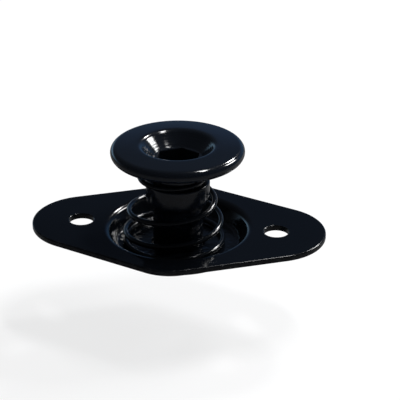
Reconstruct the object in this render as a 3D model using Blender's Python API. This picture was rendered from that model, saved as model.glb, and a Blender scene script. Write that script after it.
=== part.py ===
"""Self-ejecting quarter-turn panel fastener: a spool-shaped stud sprung in a pressed two-hole flange.

Frame: +Z up, X through the two rivet holes, origin on the stud's axis in the flange's underside.
The stud is shown popped up. Pressing it in and turning it a quarter turn locks it.
"""

import math

import bmesh
import bpy
from mathutils import Vector

MM = 0.001

# Flange: one pressing of steel sheet, a diamond with a round dish in the middle
SHEET = 1.2 * MM
FLANGE_LENGTH = 60.0 * MM
FLANGE_WIDTH = 39.1 * MM
END_RADIUS = 11.25 * MM
SIDE_RADIUS = 9.35 * MM
EDGE_ROUND = 0.3 * MM
RIVET_HOLE = 5.0 * MM
RIVET_SPACING = 40.0 * MM
DISH_DEPTH = 3.6 * MM
DISH_RIM_RADIUS = 15.2 * MM
RIM_BEND = 1.6 * MM
FLOOR_BEND = 1.1 * MM
WALL_DRAFT = math.radians(25)

# Stud: one turned piece, from the head over the spring's seat and the neck down to the pointed tip
HEAD_RADIUS = 13.4 * MM
RIM_THICKNESS = 2.55 * MM
HEAD_CROWN = 0.2 * MM
HEAD_TOP = 19.2 * MM
MOUTH_RADIUS = 8.0 * MM
MOUTH_ROUND = 1.3 * MM
FUNNEL_SLOPE = math.radians(47)
SOCKET_ACROSS_FLATS = 8.0 * MM
SOCKET_LEDGE = 0.25 * MM
SOCKET_DEPTH = 4.0 * MM
NECK_RADIUS = 6.45 * MM
NECK_LENGTH = 4.2 * MM
SEAT_RADIUS = 4.5 * MM
BARREL_RADIUS = 5.1 * MM
TIP_RADIUS = 2.9 * MM
TIP_LAND = 0.6 * MM
ROOT_FILLET = 0.6 * MM
CORNER_ROUND = 0.4 * MM

# Cross pin: pressed through the tip, it turns under the receptacle's cams
PIN_RADIUS = 0.9 * MM
PIN_LENGTH = 14.0 * MM
PIN_ROUND = 0.2 * MM
PIN_LAND = 0.4 * MM

# Retaining clip: snapped into a groove under the dish
CLIP_THICKNESS = 0.8 * MM
CLIP_RADIUS = 7.4 * MM
GROOVE_DEPTH = 0.9 * MM
CLIP_RELIEF = 1.0 * MM
CLIP_MOUTH = math.radians(62)
CLIP_NOTCHES = 2
CLIP_PRONG_SHARE = 1.6
CLIP_STEPS = 60

# Ejector spring: round wire, wound wider toward the dish, with a narrow end turn in the stud's seat
WIRE_RADIUS = 0.55 * MM
COIL_RADIUS_TOP = 8.2 * MM
COIL_RADIUS_FOOT = 9.9 * MM
COIL_PITCH = 4.58 * MM
COIL_SHIFT = 0.85 * MM
COIL_FLAT_TURN = math.radians(272)
COIL_OPEN_TURN = math.radians(693)
COIL_CLIMB_TURN = math.radians(147)
COIL_END_TURN = math.radians(198)
COIL_END_RADIUS = 6.5 * MM
COIL_END_HEIGHT = 12.3 * MM
COIL_END_SHIFT = 1.1 * MM
FREE_END = math.radians(13)

GAP = 0.3 * MM
ARC_STEP = math.radians(22)
OUTLINE_STEP = math.radians(10)
TURN_SEGMENTS = 72
COIL_STEP = math.radians(12)

DISH_FLOOR = SHEET - DISH_DEPTH
DISH_UNDERSIDE = DISH_FLOOR - SHEET
RIM_TOP = HEAD_TOP - HEAD_CROWN
HEAD_UNDERSIDE = RIM_TOP - RIM_THICKNESS
SEAT_TOP = COIL_END_HEIGHT + WIRE_RADIUS + GAP
SEAT_BOTTOM = COIL_END_HEIGHT - WIRE_RADIUS - GAP
NECK_UNDERSIDE = SEAT_BOTTOM - NECK_LENGTH
GROOVE_RADIUS = BARREL_RADIUS - GROOVE_DEPTH
CLIP_TOP = DISH_UNDERSIDE - GAP
CLIP_BOTTOM = CLIP_TOP - CLIP_THICKNESS
GROOVE_TOP = CLIP_TOP + GAP
GROOVE_BOTTOM = CLIP_BOTTOM - GAP
PIN_HEIGHT = GROOVE_BOTTOM - PIN_LAND - PIN_RADIUS - GAP
TIP = PIN_HEIGHT - PIN_RADIUS - GAP - TIP_LAND


def clear_scene():
    for item in list(bpy.data.objects):
        bpy.data.objects.remove(item)


def painted(name, colour, roughness, metallic):
    """A plain Principled finish."""
    material = bpy.data.materials.new(name)
    material.use_nodes = True
    shader = material.node_tree.nodes["Principled BSDF"]
    shader.inputs["Base Color"].default_value = (*colour, 1.0)
    shader.inputs["Roughness"].default_value = roughness
    shader.inputs["Metallic"].default_value = metallic
    return material


def cutter_material():
    return bpy.data.materials.get("cutter") or bpy.data.materials.new("cutter")


def finished(name, bm, material):
    """Turns a bmesh into a named, smooth-shaded object with its faces pointing out."""
    bmesh.ops.recalc_face_normals(bm, faces=bm.faces)
    mesh = bpy.data.meshes.new(name)
    bm.to_mesh(mesh)
    bm.free()
    thing = bpy.data.objects.new(name, mesh)
    bpy.context.scene.collection.objects.link(thing)
    mesh.materials.append(material)
    mesh.shade_smooth()
    mesh.set_sharp_from_angle(angle=math.radians(35))
    return thing


def cut(thing, cutter):
    """Subtracts a hidden cutter from an object."""
    cutter.hide_render = True
    cutter.display_type = "WIRE"
    cutter.hide_set(True)
    modifier = thing.modifiers.new("cut " + cutter.name, "BOOLEAN")
    modifier.operation = "DIFFERENCE"
    modifier.solver = "EXACT"
    modifier.object = cutter


def arc(centre, radius, start, end, step=ARC_STEP):
    """Points on an arc in a plane, both ends included; angles run from the first axis."""
    steps = max(2, math.ceil(abs(end - start) / step))
    angles = [start + (end - start) * i / steps for i in range(steps + 1)]
    return [(centre[0] + radius * math.cos(a), centre[1] + radius * math.sin(a)) for a in angles]


def loop(bm, points):
    return [bm.verts.new(p) for p in points]


def skin(bm, loops, closed=False):
    """Joins successive rings of equal length by quads; closed joins the last ring to the first."""
    count = len(loops[0])
    pairs = list(zip(loops, loops[1:]))
    if closed:
        pairs.append((loops[-1], loops[0]))
    for lower, upper in pairs:
        for i in range(count):
            j = (i + 1) % count
            bm.faces.new((lower[i], lower[j], upper[j], upper[i]))


def flange_outline(inset):
    """The diamond's corner arcs, moved inward by inset; the straight sides join them."""
    end = Vector((FLANGE_LENGTH / 2 - END_RADIUS, 0))
    side = Vector((0, FLANGE_WIDTH / 2 - SIDE_RADIUS))
    span = side - end
    lean = math.atan2(span.y, span.x) - math.acos((END_RADIUS - SIDE_RADIUS) / span.length)
    quarter = arc(end, END_RADIUS - inset, 0, lean, OUTLINE_STEP)
    straight_steps = 7
    first = Vector(quarter[-1])
    rest = arc(side, SIDE_RADIUS - inset, lean, math.pi / 2, OUTLINE_STEP)
    last = Vector(rest[0])
    for i in range(1, straight_steps):
        quarter.append(tuple(first.lerp(last, i / straight_steps)))
    quarter += rest
    half = quarter + [(-x, y) for x, y in reversed(quarter[:-1])]
    return half + [(x, -y) for x, y in reversed(half[1:-1])]


def dish_section(offset):
    """Radius and height from the rim inward to the floor, on the face that lies offset under the top."""
    turn = math.pi / 2 - WALL_DRAFT
    rim_centre = (DISH_RIM_RADIUS, SHEET - RIM_BEND)
    rim = arc(rim_centre, RIM_BEND - offset, math.pi / 2, math.pi / 2 + turn)
    top_end = arc(rim_centre, RIM_BEND, math.pi / 2, math.pi / 2 + turn)[-1]
    floor_centre_z = DISH_FLOOR + FLOOR_BEND
    wall_end_z = floor_centre_z - FLOOR_BEND * math.cos(turn)
    wall_end_r = top_end[0] - (top_end[1] - wall_end_z) * math.tan(WALL_DRAFT)
    floor_centre = (wall_end_r - FLOOR_BEND * math.sin(turn), floor_centre_z)
    foot = arc(floor_centre, FLOOR_BEND + offset, turn - math.pi / 2, -math.pi / 2)
    return rim + foot


def flange_plate():
    """The pressing: outline, rolled edge, dish and stud hole in one sheet of even thickness."""
    bm = bmesh.new()
    hole = BARREL_RADIUS + GAP
    outer = flange_outline(0)
    directions = [Vector(p).normalized() for p in outer]

    def ring(radius, height):
        return loop(bm, [(d.x * radius, d.y * radius, height) for d in directions])

    def rim(inset, height):
        return loop(bm, [(x, y, height) for x, y in flange_outline(inset)])

    loops = [ring(hole, DISH_FLOOR)]
    loops += [ring(r, z) for r, z in reversed(dish_section(0))]
    edge = arc((0, SHEET - EDGE_ROUND), EDGE_ROUND, math.pi / 2, 0)
    loops += [rim(EDGE_ROUND - x, z) for x, z in edge]
    loops += [rim(EDGE_ROUND - x, EDGE_ROUND - (z - SHEET + EDGE_ROUND)) for x, z in reversed(edge)]
    loops += [ring(r, z) for r, z in dish_section(SHEET)]
    loops += [ring(hole, DISH_UNDERSIDE)]
    skin(bm, loops, closed=True)
    plate = finished("flange_plate", bm, painted("gloss black paint", (0.012, 0.013, 0.016), 0.16, 0.0))
    for side in (-1, 1):
        centre = (side * RIVET_SPACING / 2, 0)
        cut(plate, cylinder("rivet hole cutter", RIVET_HOLE / 2, centre, -SHEET, 2 * SHEET, 40))
    return plate


def cylinder(name, radius, centre, bottom, top, sides, phase=0.0):
    """An upright prism, used as a cutter."""
    bm = bmesh.new()
    rings = []
    for z in (bottom, top):
        angles = [phase + 2 * math.pi * i / sides for i in range(sides)]
        flat = [(centre[0] + radius * math.cos(a), centre[1] + radius * math.sin(a)) for a in angles]
        rings.append(loop(bm, [(x, y, z) for x, y in flat]))
    skin(bm, rings)
    bm.faces.new(rings[0])
    bm.faces.new(rings[1])
    return finished(name, bm, cutter_material())


def turned(name, section, material, segments=TURN_SEGMENTS):
    """Spins a half section, which starts and ends on the axis, into one closed body."""
    bm = bmesh.new()
    rings = []
    for r, z in section[1:-1]:
        angles = [2 * math.pi * i / segments for i in range(segments)]
        rings.append(loop(bm, [(r * math.cos(a), r * math.sin(a), z) for a in angles]))
    skin(bm, rings)
    for ring, (_, z) in ((rings[0], section[0]), (rings[-1], section[-1])):
        pole = bm.verts.new((0, 0, z))
        for i, vert in enumerate(ring):
            bm.faces.new((vert, ring[(i + 1) % len(ring)], pole))
    return finished(name, bm, material)


def stud_section():
    """The stud's half section, from the funnel's middle over the head and down to the tip."""
    right = math.pi / 2
    corner = SOCKET_ACROSS_FLATS / math.sqrt(3) + SOCKET_LEDGE
    lip = arc((MOUTH_RADIUS, HEAD_TOP - MOUTH_ROUND), MOUTH_ROUND, right + FUNNEL_SLOPE, right)
    funnel_floor = lip[0][1] - (lip[0][0] - corner) * math.tan(FUNNEL_SLOPE)
    round_rim = RIM_THICKNESS / 2
    section = [(0, funnel_floor), (corner, funnel_floor)] + lip
    section += arc((HEAD_RADIUS - round_rim, RIM_TOP - round_rim), round_rim, right, -right)
    root = (NECK_RADIUS + ROOT_FILLET, HEAD_UNDERSIDE - ROOT_FILLET)
    section += arc(root, ROOT_FILLET, right, 2 * right)
    section += [(NECK_RADIUS, SEAT_TOP), (SEAT_RADIUS, SEAT_TOP), (SEAT_RADIUS, SEAT_BOTTOM)]
    edge = (NECK_RADIUS - CORNER_ROUND, SEAT_BOTTOM - CORNER_ROUND)
    section += arc(edge, CORNER_ROUND, right, 0)
    edge = (NECK_RADIUS - CORNER_ROUND, NECK_UNDERSIDE + CORNER_ROUND)
    section += arc(edge, CORNER_ROUND, 0, -right)
    section += [(BARREL_RADIUS, NECK_UNDERSIDE), (BARREL_RADIUS, GROOVE_TOP), (GROOVE_RADIUS, GROOVE_TOP)]
    section += [(GROOVE_RADIUS, GROOVE_BOTTOM), (BARREL_RADIUS, GROOVE_BOTTOM)]
    section += [(BARREL_RADIUS, PIN_HEIGHT + PIN_RADIUS), (TIP_RADIUS, TIP), (0, TIP)]
    return section


def stud():
    """The turned stud, with a hex drive socket in the funnel and a hole for the cross pin."""
    piece = turned("stud", stud_section(), painted("gloss black stud", (0.012, 0.013, 0.018), 0.12, 0.0))
    socket_radius = SOCKET_ACROSS_FLATS / math.sqrt(3)
    socket_floor = HEAD_TOP - MOUTH_ROUND - SOCKET_DEPTH
    above = HEAD_TOP + MOUTH_ROUND
    cut(piece, cylinder("hex socket cutter", socket_radius, (0, 0), socket_floor, above, 6, math.radians(30)))
    reach = PIN_LENGTH / 2
    hole = cylinder("pin hole cutter", PIN_RADIUS + GAP, (0, 0), -reach, reach, 24, math.radians(5))
    hole.rotation_euler = (0, math.pi / 2, 0)
    hole.location = (0, 0, PIN_HEIGHT)
    cut(piece, hole)
    return piece


def cross_pin():
    """A straight pin with rounded ends, lying along X through the tip."""
    end = PIN_LENGTH / 2
    inner = PIN_RADIUS - PIN_ROUND
    tail = arc((inner, PIN_ROUND - end), PIN_ROUND, -math.pi / 2, 0)
    section = [(0, -end)] + tail + [(r, -z) for r, z in reversed(tail)] + [(0, end)]
    pin = turned("cross_pin", section, painted("bright pin steel", (0.35, 0.35, 0.37), 0.3, 1.0), 24)
    pin.rotation_euler = (0, math.pi / 2, 0)
    pin.location = (0, 0, PIN_HEIGHT)
    return pin


def retaining_clip():
    """An E-shaped clip: three inner prongs grip the groove, and the mouth faces -Y."""
    bm = bmesh.new()
    grip = GROOVE_RADIUS + GAP
    sweep = 2 * math.pi - CLIP_MOUTH
    outer, inner = [], []
    for i in range(CLIP_STEPS + 1):
        share = i / CLIP_STEPS
        a = -math.pi / 2 + CLIP_MOUTH / 2 + sweep * share
        prong = 0.5 + 0.5 * math.cos(2 * math.pi * CLIP_NOTCHES * share)
        radius = grip + CLIP_RELIEF * (1 - min(1.0, CLIP_PRONG_SHARE * prong))
        outer.append((CLIP_RADIUS * math.cos(a), CLIP_RADIUS * math.sin(a)))
        inner.append((radius * math.cos(a), radius * math.sin(a)))
    rings = []
    for o, n in zip(outer, inner):
        rings.append(loop(bm, [(*n, CLIP_BOTTOM), (*o, CLIP_BOTTOM), (*o, CLIP_TOP), (*n, CLIP_TOP)]))
    skin(bm, rings)
    bm.faces.new(rings[0])
    bm.faces.new(rings[-1])
    return finished("retaining_clip", bm, painted("blackened spring steel", (0.03, 0.03, 0.032), 0.4, 0.8))


def spring_route():
    """Centre line of the wire, from the flat turn on the dish floor up to the end turn in the stud's seat."""
    foot = DISH_FLOOR + GAP + WIRE_RADIUS
    climb_from = COIL_FLAT_TURN + COIL_OPEN_TURN
    total = climb_from + COIL_CLIMB_TURN + COIL_END_TURN
    open_end = foot + COIL_PITCH * COIL_OPEN_TURN / (2 * math.pi)
    route = []
    steps = math.ceil(total / COIL_STEP)
    for i in range(steps + 1):
        wound = total * i / steps
        opened = min(1.0, max(0.0, (wound - COIL_FLAT_TURN) / COIL_OPEN_TURN))
        climbed = min(1.0, max(0.0, (wound - climb_from) / COIL_CLIMB_TURN))
        ease = climbed * climbed * (3 - 2 * climbed)
        radius = COIL_RADIUS_FOOT + (COIL_RADIUS_TOP - COIL_RADIUS_FOOT) * opened ** 2
        radius += (COIL_END_RADIUS - radius) * ease
        height = foot + (open_end - foot) * opened
        height += (COIL_END_HEIGHT - open_end) * (climbed + ease) / 2
        a = FREE_END - total + wound
        shift = COIL_SHIFT + (COIL_END_SHIFT - COIL_SHIFT) * ease
        route.append((radius * math.cos(a) - shift, radius * math.sin(a), height))
    return route


def ejector_spring():
    """Round wire coiled round the stud; it stands in the dish a little off the stud's axis."""
    curve = bpy.data.curves.new("ejector_spring", "CURVE")
    curve.dimensions = "3D"
    curve.bevel_depth = WIRE_RADIUS
    curve.bevel_resolution = 2
    curve.use_fill_caps = True
    route = spring_route()
    spline = curve.splines.new("POLY")
    spline.points.add(len(route) - 1)
    for point, place in zip(spline.points, route):
        point.co = (*place, 1.0)
    thing = bpy.data.objects.new("ejector_spring", curve)
    bpy.context.scene.collection.objects.link(thing)
    curve.materials.append(painted("black spring wire", (0.015, 0.015, 0.018), 0.18, 0.3))
    return thing


def build():
    clear_scene()
    flange_plate()
    stud()
    cross_pin()
    retaining_clip()
    ejector_spring()


build()
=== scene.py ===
import math

import bmesh
import bpy
from mathutils import Matrix, Vector


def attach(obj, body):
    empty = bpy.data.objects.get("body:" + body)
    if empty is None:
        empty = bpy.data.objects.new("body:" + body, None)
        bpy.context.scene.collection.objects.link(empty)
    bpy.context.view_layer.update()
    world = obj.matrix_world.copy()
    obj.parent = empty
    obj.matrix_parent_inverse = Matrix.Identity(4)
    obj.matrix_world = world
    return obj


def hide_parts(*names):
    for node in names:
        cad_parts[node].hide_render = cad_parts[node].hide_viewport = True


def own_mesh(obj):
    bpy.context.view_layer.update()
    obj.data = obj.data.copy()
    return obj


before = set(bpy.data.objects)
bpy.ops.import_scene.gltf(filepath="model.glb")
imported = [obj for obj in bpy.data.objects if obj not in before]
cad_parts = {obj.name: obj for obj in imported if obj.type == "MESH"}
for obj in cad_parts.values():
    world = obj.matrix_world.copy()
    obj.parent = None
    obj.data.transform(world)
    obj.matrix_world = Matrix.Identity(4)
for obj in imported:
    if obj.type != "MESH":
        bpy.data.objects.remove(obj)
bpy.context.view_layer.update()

# Flange: one pressing of 1.2 mm steel sheet, a diamond with a round dish drawn down in its middle.
# It is painted gloss black all over, and two blind rivets through the small holes hold it to the panel.
MM = 0.001
RIGHT_ANGLE = math.pi / 2
SHEET = 1.2 * MM
FLANGE_LENGTH = 60.0 * MM
FLANGE_WIDTH = 39.1 * MM
END_RADIUS = 11.25 * MM
SIDE_RADIUS = 9.35 * MM
EDGE_ROUND = 0.3 * MM
RIVET_HOLE = 5.0 * MM
RIVET_SPACING = 40.0 * MM
HOLE_ROLL = 0.2 * MM
DISH_DEPTH = 3.6 * MM
DISH_RIM_RADIUS = 15.2 * MM
RIM_BEND = 1.6 * MM
FLOOR_BEND = 1.1 * MM
WALL_DRAFT = math.radians(25)
STUD_HOLE = 5.4 * MM
FLAT_MARGIN = 0.06 * MM
DISH_FLOOR = SHEET - DISH_DEPTH
DISH_UNDERSIDE = DISH_FLOOR - SHEET
BEND_STEP = math.radians(7)
OUTLINE_STEP = math.radians(2.5)
SIDE_STEPS = 40
HOLE_STEPS = 96
SAME_LEVEL = 1e-7
SHARP_EDGE = math.radians(35)
BARE_GREY = (0.02, 0.021, 0.024, 1.0)
SCUFF_FROM, SCUFF_CONTRAST = 0.42, 3.0
POOLED_PAINT = 22.0
MARKS_PER_METRE = 4200.0


def arc(centre, radius, start, end, step=BEND_STEP):
    """Points of an arc in a plane, both ends included."""
    steps = max(2, math.ceil(abs(end - start) / step))
    angles = [start + (end - start) * i / steps for i in range(steps + 1)]
    return [(centre[0] + radius * math.cos(a), centre[1] + radius * math.sin(a)) for a in angles]


def full_turn(count):
    """Evenly spaced angles of one turn."""
    return [2 * math.pi * i / count for i in range(count)]


def strip(bm, rings):
    """Quads between successive closed rings of equal length."""
    count = len(rings[0])
    for low, high in zip(rings, rings[1:]):
        for i in range(count):
            j = (i + 1) % count
            bm.faces.new((low[i], low[j], high[j], high[i]))


def finished(name, bm, finish):
    """A smooth shaded piece at the origin, with its faces pointing out."""
    bmesh.ops.recalc_face_normals(bm, faces=bm.faces)
    mesh = bpy.data.meshes.new(name)
    bm.to_mesh(mesh)
    bm.free()
    piece = bpy.data.objects.new(name, mesh)
    bpy.context.scene.collection.objects.link(piece)
    mesh.materials.append(finish)
    mesh.shade_smooth()
    mesh.set_sharp_from_angle(angle=SHARP_EDGE)
    return piece


class Signal:
    """One output of a node. Sums, products and powers of signals add the Math nodes that work them out."""

    def __init__(self, bench, socket):
        self.bench, self.socket = bench, socket

    def _do(self, operation, *values):
        return self.bench.node("ShaderNodeMath", {"operation": operation}, dict(enumerate(values)))

    def __add__(self, other):
        return self._do("ADD", self, other)

    def __sub__(self, other):
        return self._do("SUBTRACT", self, other)

    def __rsub__(self, other):
        return self._do("SUBTRACT", other, self)

    def __mul__(self, other):
        return self._do("MULTIPLY", self, other)

    def __truediv__(self, other):
        return self._do("DIVIDE", self, other)

    def __pow__(self, other):
        return self._do("POWER", self, other)

    def at_least(self, other):
        return self._do("MAXIMUM", self, other)

    def at_most(self, other):
        return self._do("MINIMUM", self, other)

    def cosine(self):
        return self._do("COSINE", self)

    def sine(self):
        return self._do("SINE", self)

    def beside(self, output):
        """Another output of the same node."""
        return Signal(self.bench, self.socket.node.outputs[output])

    __radd__, __rmul__ = __add__, __mul__


class Bench:
    """A node tree, with one way to add any node to it, and short ways to the nodes that finishes share."""

    def __init__(self, tree):
        self.tree = tree

    def node(self, kind, settings=None, sockets=None, out=0):
        made = self.tree.nodes.new(kind)
        for name, value in (settings or {}).items():
            if name == "stops":
                while len(made.color_ramp.elements) < len(value):
                    made.color_ramp.elements.new(0.5)
                for element, (place, colour) in zip(made.color_ramp.elements, value):
                    element.position, element.color = place, colour
            else:
                setattr(made, name, value)
        for name, value in (sockets or {}).items():
            self.wire(value, made.inputs[name])
        return Signal(self, made.outputs[out])

    def wire(self, value, socket):
        if isinstance(value, Signal):
            self.tree.links.new(value.socket, socket)
        else:
            socket.default_value = value

    def place(self):
        """The point on the piece that is being shaded."""
        return self.node("ShaderNodeTexCoord", out="Object")

    def layer(self, name):
        """A number that the mesh carries from point to point."""
        return self.node("ShaderNodeAttribute", {"attribute_name": name}, out="Fac")

    def noise(self, place, scale, detail):
        return self.node("ShaderNodeTexNoise", sockets={"Vector": place, "Scale": scale, "Detail": detail})

    def blend(self, share, first, second, clamp=True):
        """A colour between two others. A Mix node keeps its colour sockets under these numbers."""
        settings = {"data_type": "RGBA", "clamp_factor": clamp}
        return self.node("ShaderNodeMix", settings, {0: share, 6: first, 7: second}, out=2)

    def emboss(self, shader, height, depth):
        """Presses a pattern of heights into a shader's surface."""
        skin = self.node(
            "ShaderNodeBump", sockets={"Strength": 1.0, "Distance": depth, "Height": height}, out="Normal")
        self.wire(skin, shader.inputs["Normal"])


def finish_bench(name):
    """A new material, its bench and its Principled shader."""
    material = bpy.data.materials.new(name)
    material.use_nodes = True
    return material, Bench(material.node_tree), material.node_tree.nodes["Principled BSDF"]


# The colour given to this finish is the paint's own near-black with a painted blue fill light mixed in, which
# keeps shaded hollows from going fully black. Each piece gets its own lighter or darker copy of the same paint.
def gloss_black(name, colour, shine, roughness, peel, lathe_marks=False):
    """Stoved gloss black. Its skin has orange peel of a given height, deeper where the paint has pooled, and a
    turned piece's lathe marks show through it. Bare grey comes through where the edges thin it."""
    material, bench, shader = finish_bench(name)
    shader.inputs["Specular IOR Level"].default_value = shine
    place = bench.place()
    lumps, pores = bench.noise(place, 620.0, 2.0), bench.noise(place, 3600.0, 1.0)
    haze, scuffs = bench.noise(place, 95.0, 4.0), bench.noise(place, 900.0, 6.0)
    thin = (bench.layer("worn") * (scuffs - SCUFF_FROM) * SCUFF_CONTRAST).at_least(0.0).at_most(1.0)
    bench.wire(bench.blend(thin * 0.4, (*colour, 1.0), BARE_GREY), shader.inputs["Base Color"])
    bench.wire(roughness + (haze - 0.5) * 0.08 + thin * 0.15, shader.inputs["Roughness"])
    height = lumps * (1.0 + bench.layer("pooled")) + pores * 0.12
    if lathe_marks:
        x = bench.node("ShaderNodeSeparateXYZ", sockets={0: place}, out="X")
        y, z = x.beside("Y"), x.beside("Z")
        out = (x * x + y * y) ** 0.5
        along = bench.node("ShaderNodeCombineXYZ", sockets={
            "X": out * MARKS_PER_METRE, "Y": z * MARKS_PER_METRE, "Z": lumps * 1.5})
        height = height + bench.noise(along, 1.0, 3.0) * bench.layer("turned")
    bench.emboss(shader, height, peel)
    return material


def flange_outline(inset):
    """The diamond's corner arcs and straight sides, moved inward by inset."""
    end = Vector((FLANGE_LENGTH / 2 - END_RADIUS, 0))
    side = Vector((0, FLANGE_WIDTH / 2 - SIDE_RADIUS))
    span = side - end
    lean = math.atan2(span.y, span.x) - math.acos((END_RADIUS - SIDE_RADIUS) / span.length)
    quarter = arc(end, END_RADIUS - inset, 0, lean, OUTLINE_STEP)
    rest = arc(side, SIDE_RADIUS - inset, lean, RIGHT_ANGLE, OUTLINE_STEP)
    first, last = Vector(quarter[-1]), Vector(rest[0])
    quarter += [tuple(first.lerp(last, i / SIDE_STEPS)) for i in range(1, SIDE_STEPS)] + rest
    half = quarter + [(-x, y) for x, y in reversed(quarter[:-1])]
    return half + [(x, -y) for x, y in reversed(half[1:-1])]


def dish_side(offset):
    """Radius and height from the rim inward to the floor, on the face that lies offset under the top."""
    turn = RIGHT_ANGLE - WALL_DRAFT
    rim_centre = (DISH_RIM_RADIUS, SHEET - RIM_BEND)
    rim = arc(rim_centre, RIM_BEND - offset, RIGHT_ANGLE, RIGHT_ANGLE + turn)
    wall_top = arc(rim_centre, RIM_BEND, RIGHT_ANGLE, RIGHT_ANGLE + turn)[-1]
    floor_centre_z = DISH_FLOOR + FLOOR_BEND
    wall_end_z = floor_centre_z - FLOOR_BEND * math.cos(turn)
    wall_end_r = wall_top[0] - (wall_top[1] - wall_end_z) * math.tan(WALL_DRAFT)
    floor_centre = (wall_end_r - FLOOR_BEND * math.sin(turn), floor_centre_z)
    foot = arc(floor_centre, FLOOR_BEND + offset, turn - RIGHT_ANGLE, -RIGHT_ANGLE)
    outside = [(DISH_RIM_RADIUS + FLAT_MARGIN, SHEET - offset)]
    inside = [(foot[-1][0] - FLAT_MARGIN, DISH_FLOOR - offset)]
    return outside + rim + foot + inside


flange_bm = bmesh.new()
worn_layer = flange_bm.verts.layers.float.new("worn")
pooled_layer = flange_bm.verts.layers.float.new("pooled")
directions = [Vector(p).normalized() for p in flange_outline(0)]


def flange_ring(points, height, worn=0.0, pooled=0.0):
    made = [flange_bm.verts.new((x, y, height)) for x, y in points]
    for vert in made:
        vert[worn_layer], vert[pooled_layer] = worn, pooled
    return made


def round_ring(radius, height, worn=0.0):
    """A ring of the dish, with as many points as the outline has. Paint pools on its wall and floor."""
    pooled = POOLED_PAINT if DISH_FLOOR <= height < SHEET - RIM_BEND else 0.0
    return flange_ring([(d.x * radius, d.y * radius) for d in directions], height, worn, pooled)


def hole_ring(middle, radius, height, worn=1.0):
    points = [(middle + radius * math.cos(a), radius * math.sin(a)) for a in full_turn(HOLE_STEPS)]
    return flange_ring(points, height, worn)


mouth = STUD_HOLE + HOLE_ROLL
roll = arc((mouth, DISH_UNDERSIDE + HOLE_ROLL), HOLE_ROLL, -RIGHT_ANGLE, -2 * RIGHT_ANGLE)
roll += arc((mouth, DISH_FLOOR - HOLE_ROLL), HOLE_ROLL, 2 * RIGHT_ANGLE, RIGHT_ANGLE)
dish_rings = [round_ring(r, z) for r, z in dish_side(SHEET)]
dish_rings.append(round_ring(mouth + FLAT_MARGIN, DISH_UNDERSIDE))
dish_rings += [round_ring(r, z, 1.0) for r, z in roll]
dish_rings.append(round_ring(mouth + FLAT_MARGIN, DISH_FLOOR))
dish_rings += [round_ring(r, z) for r, z in reversed(dish_side(0))]
strip(flange_bm, dish_rings)

edge = arc((0, SHEET - EDGE_ROUND), EDGE_ROUND, RIGHT_ANGLE, 0)
edge += arc((0, EDGE_ROUND), EDGE_ROUND, 0, -RIGHT_ANGLE)
edge_rings = [flange_ring(flange_outline(EDGE_ROUND + FLAT_MARGIN), SHEET)]
edge_rings += [flange_ring(flange_outline(EDGE_ROUND - x), z, 1.0) for x, z in edge]
edge_rings.append(flange_ring(flange_outline(EDGE_ROUND + FLAT_MARGIN), 0.0))
strip(flange_bm, edge_rings)

brim = RIVET_HOLE / 2 + HOLE_ROLL
bend = arc((brim, SHEET - HOLE_ROLL), HOLE_ROLL, RIGHT_ANGLE, 2 * RIGHT_ANGLE)
bend += arc((brim, HOLE_ROLL), HOLE_ROLL, 2 * RIGHT_ANGLE, 3 * RIGHT_ANGLE)
for middle in (-RIVET_SPACING / 2, RIVET_SPACING / 2):
    hole_rings = [hole_ring(middle, brim + FLAT_MARGIN, SHEET, 0.0)]
    hole_rings += [hole_ring(middle, r, z) for r, z in bend]
    hole_rings.append(hole_ring(middle, brim + FLAT_MARGIN, 0.0, 0.0))
    strip(flange_bm, hole_rings)

for height, facing in ((SHEET, 1), (0.0, -1)):
    open_edges = [
        e for e in flange_bm.edges
        if e.is_boundary and all(abs(v.co.z - height) < SAME_LEVEL for v in e.verts)]
    bmesh.ops.triangle_fill(flange_bm, use_beauty=True, edges=open_edges, normal=(0, 0, facing))

# Its colour is darker than the stud's so that the flange's lit front stays dark: a darker copy of the same
# paint, with the painted blue fill.
flange_black = gloss_black(
    "flange gloss black", (0.0015, 0.0021, 0.0032), shine=0.22, roughness=0.12, peel=6e-6)
flange = finished("flange", flange_bm, flange_black)
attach(flange, "flange")
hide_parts("flange_plate")

# Stud: turned from steel bar in one piece, with a full round head, a funnel that leads the key into its
# hex socket, a neck with a seat for the spring's end turn, a barrel and a pointed tip. It is gloss black.
HEAD_RADIUS = 13.4 * MM
RIM_THICKNESS = 2.55 * MM
HEAD_CROWN = 0.2 * MM
CROWN_FALL = 1.4
CROWN_STEPS = 8
HEAD_TOP = 19.2 * MM
MOUTH_RADIUS = 8.0 * MM
MOUTH_ROUND = 1.3 * MM
FUNNEL_SLOPE = math.radians(47)
SOCKET_ACROSS_FLATS = 8.0 * MM
SOCKET_LEDGE = 0.25 * MM
SOCKET_DEPTH = 4.0 * MM
SOCKET_FLOOR_RINGS = (0.04, 0.35, 0.7, 1.0)
SOCKET_EDGE = ((0.0, 0.35 * MM, 0.0), (0.03 * MM, 0.08 * MM, 1.0), (0.1 * MM, 0.0, 1.0))
LEDGE_EASE = 0.04 * MM
LEDGE_RISE = 0.05 * MM
DRILL_POINT = 0.5 * MM
NECK_RADIUS = 6.45 * MM
NECK_UNDERSIDE = 7.25 * MM
SEAT_RADIUS = 4.5 * MM
SEAT_TOP = 13.15 * MM
SEAT_BOTTOM = 11.45 * MM
BARREL_RADIUS = 5.1 * MM
TIP_RADIUS = 2.9 * MM
TIP_BREAK = 0.1 * MM
ROOT_FILLET = 0.6 * MM
CORNER_ROUND = 0.4 * MM
EDGE_BREAK = 0.12 * MM
GROOVE_RADIUS = 4.2 * MM
GROOVE_TOP = -3.6 * MM
GROOVE_BOTTOM = -5.0 * MM
PIN_HEIGHT = -6.6 * MM
PIN_RADIUS = 0.9 * MM
PIN_FIT = 0.03 * MM
TIP = -8.4 * MM
FUNNEL_MARKS = 7.0
SHANK_MARKS = 2.4
STUD_STEPS = 240
BORE_STEPS = 48
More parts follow.
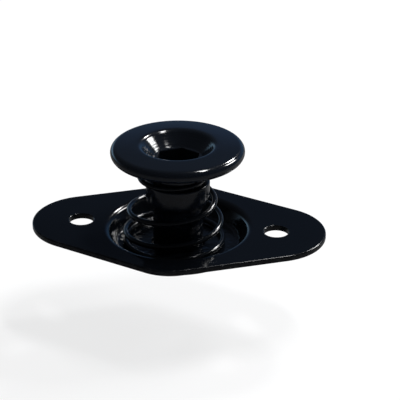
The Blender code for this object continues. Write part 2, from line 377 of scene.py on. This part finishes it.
BREAK_STEP, ROUND_STEP, RIM_STEP = (math.radians(a) for a in (22, 10, 4))

RIM_TOP = HEAD_TOP - HEAD_CROWN
HEAD_UNDERSIDE = RIM_TOP - RIM_THICKNESS


def corner(r, z, facing, size=EDGE_BREAK, step=BREAK_STEP):
    """A small rounded corner at (r, z), from its flat to its side. It faces up with facing at 1, down at -1."""
    return arc((r - size, z - facing * size), size, facing * RIGHT_ANGLE, 0, step)


stud_bm = bmesh.new()
stud_worn = stud_bm.verts.layers.float.new("worn")
stud_turned = stud_bm.verts.layers.float.new("turned")


def stud_ring(radius, height, hexagonal=False, worn=0.0, turned=0.0):
    """A turned ring, or the same count of points spread round the socket's six flats."""
    ring = []
    for a in full_turn(STUD_STEPS):
        off_flat = (a + math.pi / 6) % (math.pi / 3) - math.pi / 6
        r = radius / math.cos(off_flat) if hexagonal else radius
        vert = stud_bm.verts.new((r * math.cos(a), r * math.sin(a), height))
        vert[stud_worn], vert[stud_turned] = worn, turned
        ring.append(vert)
    return ring


flat = SOCKET_ACROSS_FLATS / 2
socket_floor = HEAD_TOP - MOUTH_ROUND - SOCKET_DEPTH
ledge_radius = SOCKET_ACROSS_FLATS / math.sqrt(3) + SOCKET_LEDGE
lip = arc((MOUTH_RADIUS, HEAD_TOP - MOUTH_ROUND), MOUTH_ROUND, RIGHT_ANGLE + FUNNEL_SLOPE, RIGHT_ANGLE)
ledge_height = lip[0][1] - (lip[0][0] - ledge_radius) * math.tan(FUNNEL_SLOPE)

stud_rings = [
    stud_ring(flat * s, socket_floor - DRILL_POINT * (1 - s), hexagonal=True) for s in SOCKET_FLOOR_RINGS]
stud_rings += [
    stud_ring(flat + wider, ledge_height - lower, hexagonal=True, worn=worn)
    for wider, lower, worn in SOCKET_EDGE]
stud_rings += [
    stud_ring(ledge_radius - LEDGE_EASE, ledge_height, turned=FUNNEL_MARKS),
    stud_ring(ledge_radius + LEDGE_EASE, ledge_height + LEDGE_RISE, turned=FUNNEL_MARKS),
    stud_ring(*lip[0], turned=FUNNEL_MARKS)]

round_rim = RIM_THICKNESS / 2
rim_centre = (HEAD_RADIUS - round_rim, RIM_TOP - round_rim)
crown_width = rim_centre[0] - MOUTH_RADIUS
crown_slope = math.atan(CROWN_FALL * HEAD_CROWN / crown_width)
section = lip[1:] + [
    (MOUTH_RADIUS + crown_width * s / CROWN_STEPS, HEAD_TOP - HEAD_CROWN * (s / CROWN_STEPS) ** CROWN_FALL)
    for s in range(1, CROWN_STEPS)]
section += arc(rim_centre, round_rim, RIGHT_ANGLE - crown_slope, -RIGHT_ANGLE, RIM_STEP)
section += [(rim_centre[0] - FLAT_MARGIN, HEAD_UNDERSIDE)]
root = (NECK_RADIUS + ROOT_FILLET, HEAD_UNDERSIDE - ROOT_FILLET)
section += [(root[0] + FLAT_MARGIN, HEAD_UNDERSIDE)] + arc(root, ROOT_FILLET, RIGHT_ANGLE, 2 * RIGHT_ANGLE)
section += corner(NECK_RADIUS, SEAT_TOP, -1)[::-1]
section += [(SEAT_RADIUS + EDGE_BREAK, SEAT_TOP), (SEAT_RADIUS, SEAT_TOP - EDGE_BREAK)]
section += [(SEAT_RADIUS, SEAT_BOTTOM + EDGE_BREAK), (SEAT_RADIUS + EDGE_BREAK, SEAT_BOTTOM)]
section += corner(NECK_RADIUS, SEAT_BOTTOM, 1, CORNER_ROUND, ROUND_STEP)
section += corner(NECK_RADIUS, NECK_UNDERSIDE, -1, CORNER_ROUND, ROUND_STEP)[::-1]
section += [(BARREL_RADIUS + EDGE_BREAK, NECK_UNDERSIDE), (BARREL_RADIUS, NECK_UNDERSIDE - EDGE_BREAK)]
section += corner(BARREL_RADIUS, GROOVE_TOP, -1)[::-1]
section += [(GROOVE_RADIUS + EDGE_BREAK, GROOVE_TOP), (GROOVE_RADIUS, GROOVE_TOP - EDGE_BREAK)]
section += [(GROOVE_RADIUS, GROOVE_BOTTOM + EDGE_BREAK), (GROOVE_RADIUS + EDGE_BREAK, GROOVE_BOTTOM)]
section += corner(BARREL_RADIUS, GROOVE_BOTTOM, 1)
section += [(BARREL_RADIUS, PIN_HEIGHT + PIN_RADIUS), (TIP_RADIUS + TIP_BREAK, TIP + TIP_BREAK)]
section += [(TIP_RADIUS, TIP), (TIP_BREAK, TIP)]
stud_rings += [stud_ring(r, z, turned=SHANK_MARKS if z < HEAD_UNDERSIDE else 0.0) for r, z in section]
strip(stud_bm, stud_rings)
stud_bm.faces.new(stud_rings[0])
stud_bm.faces.new(stud_rings[-1])
# Its colour is lighter and bluer than the flange's: the same paint with more painted blue fill, so the shaded
# barrel and funnel keep a faint blue.
stud_black = gloss_black(
    "stud gloss black", (0.0034, 0.0050, 0.0080), shine=0.36, roughness=0.12, peel=4e-6, lathe_marks=True)
stud = finished("stud_turning", stud_bm, stud_black)

bpy.ops.mesh.primitive_cylinder_add(
    vertices=BORE_STEPS, radius=PIN_RADIUS + PIN_FIT, depth=4 * BARREL_RADIUS,
    location=(0, 0, PIN_HEIGHT), rotation=(0, RIGHT_ANGLE, 0))
drill = bpy.context.object
bore = stud.modifiers.new("pin bore", "BOOLEAN")
bore.operation = "DIFFERENCE"
bore.object = drill
bored = bpy.data.meshes.new_from_object(stud.evaluated_get(bpy.context.evaluated_depsgraph_get()))
stud.modifiers.clear()
stud.data = bored
bpy.data.objects.remove(drill)
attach(stud, "stud")
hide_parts("stud")

# Cross pin: a short bright steel dowel pressed through the tip, which turns under the receptacle's cams.
# Its ends are rounded off, and it is left plain.
PIN_LENGTH = 14.0 * MM
PIN_ROUND = 0.2 * MM
PIN_CENTRE = 0.02 * MM
PIN_STEPS = 64
PIN_ROUND_STEP = math.radians(15)
DRAWN_GRAIN = (6000.0, 900.0, 900.0)
DULLED = 0.55


def bright_steel(name, colour, roughness, grain):
    """Drawn steel with fine scratches round it, duller in places."""
    material, bench, shader = finish_bench(name)
    shader.inputs["Metallic"].default_value = 1.0
    place = bench.place()
    drawn = bench.node("ShaderNodeMapping", sockets={"Vector": place, "Scale": DRAWN_GRAIN})
    lines, dull = bench.noise(drawn, 1.0, 4.0), bench.noise(place, 300.0, 4.0)
    tone = bench.blend(dull, (*colour, 1.0), (*[c * DULLED for c in colour], 1.0))
    bench.wire(tone, shader.inputs["Base Color"])
    bench.wire(roughness + (dull - 0.5) * 0.3 + (lines - 0.5) * 0.15, shader.inputs["Roughness"])
    bench.emboss(shader, lines, grain)
    return material


half = PIN_LENGTH / 2
inner = PIN_RADIUS - PIN_ROUND
tail = arc((inner, PIN_ROUND - half), PIN_ROUND, -RIGHT_ANGLE, 0, PIN_ROUND_STEP)
profile = [(PIN_CENTRE, -half)] + tail + [(r, -x) for r, x in reversed(tail)] + [(PIN_CENTRE, half)]
pin_bm = bmesh.new()
pin_rings = [
    [pin_bm.verts.new((x, r * math.cos(a), PIN_HEIGHT + r * math.sin(a))) for a in full_turn(PIN_STEPS)]
    for r, x in profile]
strip(pin_bm, pin_rings)
pin_bm.faces.new(pin_rings[0])
pin_bm.faces.new(pin_rings[-1])
pin_steel = bright_steel("bright pin steel", (0.42, 0.42, 0.44), roughness=0.32, grain=1.5e-6)
pin = finished("pin", pin_bm, pin_steel)
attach(pin, "stud")
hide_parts("cross_pin")

# Retaining clip: an E-clip stamped from spring steel and blackened, snapped into the stud's groove
# right under the dish. Three inner prongs grip the groove, and its mouth faces the front.
CLIP_TOP = -3.9 * MM
CLIP_BOTTOM = -4.7 * MM
CLIP_RADIUS = 7.4 * MM
CLIP_GRIP = 4.5 * MM
CLIP_RELIEF = 1.0 * MM
CLIP_MOUTH = math.radians(62)
CLIP_STEPS = 180
PRONG_WIDTH = 1.6
CLIP_EDGE = 0.09 * MM
CLIP_EDGE_STEPS = 3
STAMPED_EDGE = math.radians(50)

clip_bm = bmesh.new()
clip_rows = []
for i in range(CLIP_STEPS + 1):
    share = i / CLIP_STEPS
    a = -RIGHT_ANGLE + CLIP_MOUTH / 2 + (2 * math.pi - CLIP_MOUTH) * share
    prong = 0.5 + 0.5 * math.cos(4 * math.pi * share)
    near = CLIP_GRIP + CLIP_RELIEF * (1 - min(1.0, PRONG_WIDTH * prong))
    corners = [(near, CLIP_BOTTOM), (CLIP_RADIUS, CLIP_BOTTOM), (CLIP_RADIUS, CLIP_TOP), (near, CLIP_TOP)]
    clip_rows.append([clip_bm.verts.new((r * math.cos(a), r * math.sin(a), z)) for r, z in corners])
strip(clip_bm, clip_rows)
clip_bm.faces.new(clip_rows[0])
clip_bm.faces.new(clip_rows[-1])
bmesh.ops.recalc_face_normals(clip_bm, faces=clip_bm.faces)
stamped = [e for e in clip_bm.edges if len(e.link_faces) == 2 and e.calc_face_angle() > STAMPED_EDGE]
bmesh.ops.bevel(
    clip_bm, geom=stamped, offset=CLIP_EDGE, segments=CLIP_EDGE_STEPS, affect="EDGES", profile=0.5)
clip_steel = bright_steel("blackened spring steel", (0.06, 0.06, 0.065), roughness=0.38, grain=1.5e-6)
clip = finished("clip", clip_bm, clip_steel)
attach(clip, "clip")
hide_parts("retaining_clip")

# Ejector spring: one length of round wire coiled round the stud. It starts with a flat turn on the dish
# floor, climbs two open turns, and its last turn lies in the seat under the head. It is coated black.
OPEN_FROM, CLIMB_FROM, CLIMB_TO, WHOLE_TURN = (math.radians(a) for a in (272, 965, 1112, 1310))
SPRING = {
    "Wire Radius": 0.55 * MM,
    "Foot Radius": 9.9 * MM,
    "Top Radius": 8.2 * MM,
    "End Radius": 6.5 * MM,
    "Pitch": 4.58 * MM,
    "Axis Shift": 0.85 * MM,
    "End Shift": 1.1 * MM,
    "Foot Height": DISH_FLOOR + 0.85 * MM,
    "End Height": 12.3 * MM,
    "Open From": OPEN_FROM,
    "Climb From": CLIMB_FROM,
    "Climb To": CLIMB_TO,
    "Whole Turn": WHOLE_TURN,
    "Start Angle": math.radians(13) - WHOLE_TURN,
}
WIRE_STEPS = 760
WIRE_SIDES = 24

spring_tree = bpy.data.node_groups.new("coiled wire", "GeometryNodeTree")
spring_tree.interface.new_socket(name="Geometry", in_out="OUTPUT", socket_type="NodeSocketGeometry")
named = {
    name: spring_tree.interface.new_socket(name=name, in_out="INPUT", socket_type="NodeSocketFloat")
    for name in SPRING}
bench = Bench(spring_tree)
given_node = spring_tree.nodes.new("NodeGroupInput")
given = {name: Signal(bench, given_node.outputs[name]) for name in SPRING}
wound = bench.node("GeometryNodeInputIndex") / WIRE_STEPS * given["Whole Turn"]
open_turn = given["Climb From"] - given["Open From"]
climb_turn = given["Climb To"] - given["Climb From"]
opened = ((wound - given["Open From"]) / open_turn).at_least(0.0).at_most(1.0)
climbed = ((wound - given["Climb From"]) / climb_turn).at_least(0.0).at_most(1.0)
ease = climbed * climbed * (3.0 - 2.0 * climbed)
wide = given["Foot Radius"] + (given["Top Radius"] - given["Foot Radius"]) * opened ** 2.0
reach = wide + (given["End Radius"] - wide) * ease
open_rise = given["Pitch"] * open_turn / (2 * math.pi)
climb_rise = given["End Height"] - given["Foot Height"] - open_rise
level = given["Foot Height"] + open_rise * opened + climb_rise * (climbed + ease) / 2.0
angle = given["Start Angle"] + wound
along = bench.node("ShaderNodeCombineXYZ", sockets={
    "X": reach * angle.cosine() - given["Axis Shift"] - (given["End Shift"] - given["Axis Shift"]) * ease,
    "Y": reach * angle.sine(),
    "Z": level,
})
blank = bench.node("GeometryNodeCurvePrimitiveLine")
blank = bench.node("GeometryNodeResampleCurve", sockets={"Curve": blank, "Count": WIRE_STEPS + 1})
coil = bench.node("GeometryNodeSetPosition", sockets={"Geometry": blank, "Position": along})
round_wire = bench.node(
    "GeometryNodeCurvePrimitiveCircle", sockets={"Resolution": WIRE_SIDES, "Radius": given["Wire Radius"]})
wire = bench.node(
    "GeometryNodeCurveToMesh", sockets={"Curve": coil, "Profile Curve": round_wire, "Fill Caps": True})
wire = bench.node("GeometryNodeSetShadeSmooth", sockets={"Geometry": wire})
wire = bench.node("GeometryNodeRealizeInstances", sockets={"Geometry": wire})
# Its colour is the same paint with a little painted blue fill light.
spring_black = gloss_black(
    "spring gloss black", (0.0020, 0.0028, 0.0042), shine=0.26, roughness=0.14, peel=2e-6)
wire = bench.node("GeometryNodeSetMaterial", sockets={"Geometry": wire, "Material": spring_black})
bench.wire(wire, spring_tree.nodes.new("NodeGroupOutput").inputs["Geometry"])

spring = bpy.data.objects.new("spring", bpy.data.meshes.new("spring"))
bpy.context.scene.collection.objects.link(spring)
winding = spring.modifiers.new("winding", "NODES")
winding.node_group = spring_tree
for name, size in SPRING.items():
    winding[named[name].identifier] = size
coiled = bpy.data.meshes.new_from_object(spring.evaluated_get(bpy.context.evaluated_depsgraph_get()))
spring.modifiers.clear()
spring.data = coiled
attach(spring, "flange")
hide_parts("ejector_spring")
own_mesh(spring)

# Studio: a plain floor, low enough for the pressed stud's tip, in a dim room. Camera rays see it white, but
# reflections show it dark grey, a painted darker reflection of the floor. A blue backdrop hangs behind the
# object, a little to the right, and a low blue glow lies behind it on the left. An overhead strip, a slanted
# strip and a smaller lamp farther back stand on the right.
FLOOR = -18.6 * MM
FLOOR_SIZE = 6.0
PAPER = (0.86, 0.86, 0.87, 1.0)
# The paper's colour in reflections: a painted dark grey, so the glossy black shows the floor darker than it is
# lit.
PAPER_PAINTED_DARK_IN_REFLECTIONS = (0.16, 0.16, 0.16, 1.0)
PAPER_GLOW = 0.8
CAMERA_YAW = math.radians(7.80)
BACKDROP_HEADING, BACKDROP_FOCUS, BACKDROP_LEVEL = -25, 4.0, 1.9
GLOW_HEADING, GLOW_FOCUS, GLOW_LOWNESS = 38, 14.0, 12.0
GLOW_BLUE = (0.75, 1.25, 1.75, 1.0)
LAMP_DISTANCE = 0.7
LAMP_AIM = Vector((0, 0, 0.01))

bpy.ops.mesh.primitive_plane_add(size=FLOOR_SIZE, location=(0, 0, FLOOR))
floor = bpy.context.object
floor.name = "floor"
paper, bench, shader = finish_bench("white paper")
shader.inputs["Roughness"].default_value = 0.9
glow = bench.node("ShaderNodeEmission", sockets={"Color": (1, 1, 1, 1), "Strength": 1.0})
camera_ray = bench.node("ShaderNodeLightPath", out="Is Camera Ray")
# In reflections the paper turns dark grey, a painted darker reflection of the floor on the glossy parts.
tone = bench.blend(camera_ray.beside("Is Glossy Ray"), PAPER, PAPER_PAINTED_DARK_IN_REFLECTIONS)
bench.wire(tone, shader.inputs["Base Color"])
seen = camera_ray.at_least(camera_ray.beside("Is Transmission Ray")) * PAPER_GLOW
mixed = bench.node("ShaderNodeMixShader", sockets={0: seen, 1: Signal(bench, shader.outputs[0]), 2: glow})
bench.wire(mixed, paper.node_tree.nodes["Material Output"].inputs["Surface"])
floor.data.materials.append(paper)

world = bpy.data.worlds.new("studio")
bpy.context.scene.world = world
world.use_nodes = True
bench = Bench(world.node_tree)
look = bench.node("ShaderNodeTexCoord", out="Generated")
east = bench.node("ShaderNodeSeparateXYZ", sockets={0: look}, out="X")
north, rise = east.beside("Y"), east.beside("Z")


def toward(heading):
    """How nearly a direction points that many degrees to the left of straight behind the object."""
    turn = CAMERA_YAW + math.radians(heading)
    return (north * math.cos(turn) - east * math.sin(turn)).at_least(0.0)


room = bench.node("ShaderNodeValToRGB", {"stops": [
    (0.0, (0.10, 0.105, 0.115, 1.0)),
    (0.30, (0.04, 0.045, 0.055, 1.0)),
    (1.0, (0.06, 0.065, 0.075, 1.0)),
]}, {"Fac": rise})
backdrop = bench.node("ShaderNodeValToRGB", {"stops": [
    (0.0, (0.085, 0.15, 0.25, 1.0)),
    (0.26, (0.075, 0.13, 0.235, 1.0)),
    (0.36, (0.058, 0.098, 0.19, 1.0)),
    (0.44, (0.034, 0.050, 0.083, 1.0)),
    (0.50, (0.052, 0.072, 0.118, 1.0)),
    (0.8, (0.03, 0.035, 0.045, 1.0)),
]}, {"Fac": rise})
sky = bench.blend(toward(BACKDROP_HEADING) ** BACKDROP_FOCUS * BACKDROP_LEVEL, room, backdrop, clamp=False)
low = (1.0 - rise * rise * GLOW_LOWNESS).at_least(0.0)
sky = bench.blend(toward(GLOW_HEADING) ** GLOW_FOCUS * low, sky, GLOW_BLUE)
bench.wire(sky, world.node_tree.nodes["Background"].inputs["Color"])


def soft_box(name, right_of_camera, height, wide, tall, slant, strength):
    """A lamp aimed at the stud. Its place and its size are angles seen from there, slant turns it, and
    strength is the brightness of its face."""
    heading = CAMERA_YAW - RIGHT_ANGLE + math.radians(right_of_camera)
    lift, slant = math.radians(height), math.radians(slant)
    out = Vector((math.cos(heading) * math.cos(lift), math.sin(heading) * math.cos(lift), math.sin(lift)))
    lamp = bpy.data.lights.new(name, "AREA")
    lamp.shape = "RECTANGLE"
    lamp.size, lamp.size_y = (2 * LAMP_DISTANCE * math.tan(math.radians(a / 2)) for a in (wide, tall))
    lamp.energy = strength * math.pi * lamp.size * lamp.size_y
    holder = bpy.data.objects.new(name, lamp)
    bpy.context.scene.collection.objects.link(holder)
    side = Vector((0, 0, 1)).cross(out).normalized()
    side = side * math.cos(slant) + out.cross(side) * math.sin(slant)
    facing = Matrix((side, out.cross(side), out)).transposed().to_4x4()
    holder.matrix_world = Matrix.Translation(out * LAMP_DISTANCE + LAMP_AIM) @ facing


soft_box("overhead strip", 117, 69, 22, 6, 0, 44.0)
soft_box("slanted strip", 116, 34, 18, 9, -35, 42.0)
soft_box("far lamp", 148, 41, 9, 7, 0, 90.0)

# Camera: a long lens a little above the flange, looking down at it from the front and slightly right.
# The stud's axis, level with the flange's top, stands a little left of the view's middle and below it.
LENS = 135.0
SENSOR = 36.0
NEAREST = 10.0 * MM
PITCH = math.radians(26.22)
DISTANCE = 304.81 * MM
AXIS_RIGHT = -4.445 * MM
AXIS_UP = -5.09 * MM

right = Vector((math.cos(CAMERA_YAW), math.sin(CAMERA_YAW), 0))
level_ahead = Vector((-math.sin(CAMERA_YAW), math.cos(CAMERA_YAW), 0))
ahead = level_ahead * math.cos(PITCH) - Vector((0, 0, math.sin(PITCH)))
up = right.cross(ahead)
camera = bpy.data.objects.new("camera", bpy.data.cameras.new("camera"))
bpy.context.scene.collection.objects.link(camera)
camera.data.lens = LENS
camera.data.sensor_width = SENSOR
camera.data.clip_start = NEAREST
eye = Vector((0, 0, SHEET)) - AXIS_RIGHT * right - AXIS_UP * up - DISTANCE * ahead
turn_to = Matrix((right, up, -ahead)).transposed().to_4x4()
camera.matrix_world = Matrix.Translation(eye) @ turn_to
bpy.context.scene.camera = camera
bpy.context.scene.view_settings.view_transform = "Standard"
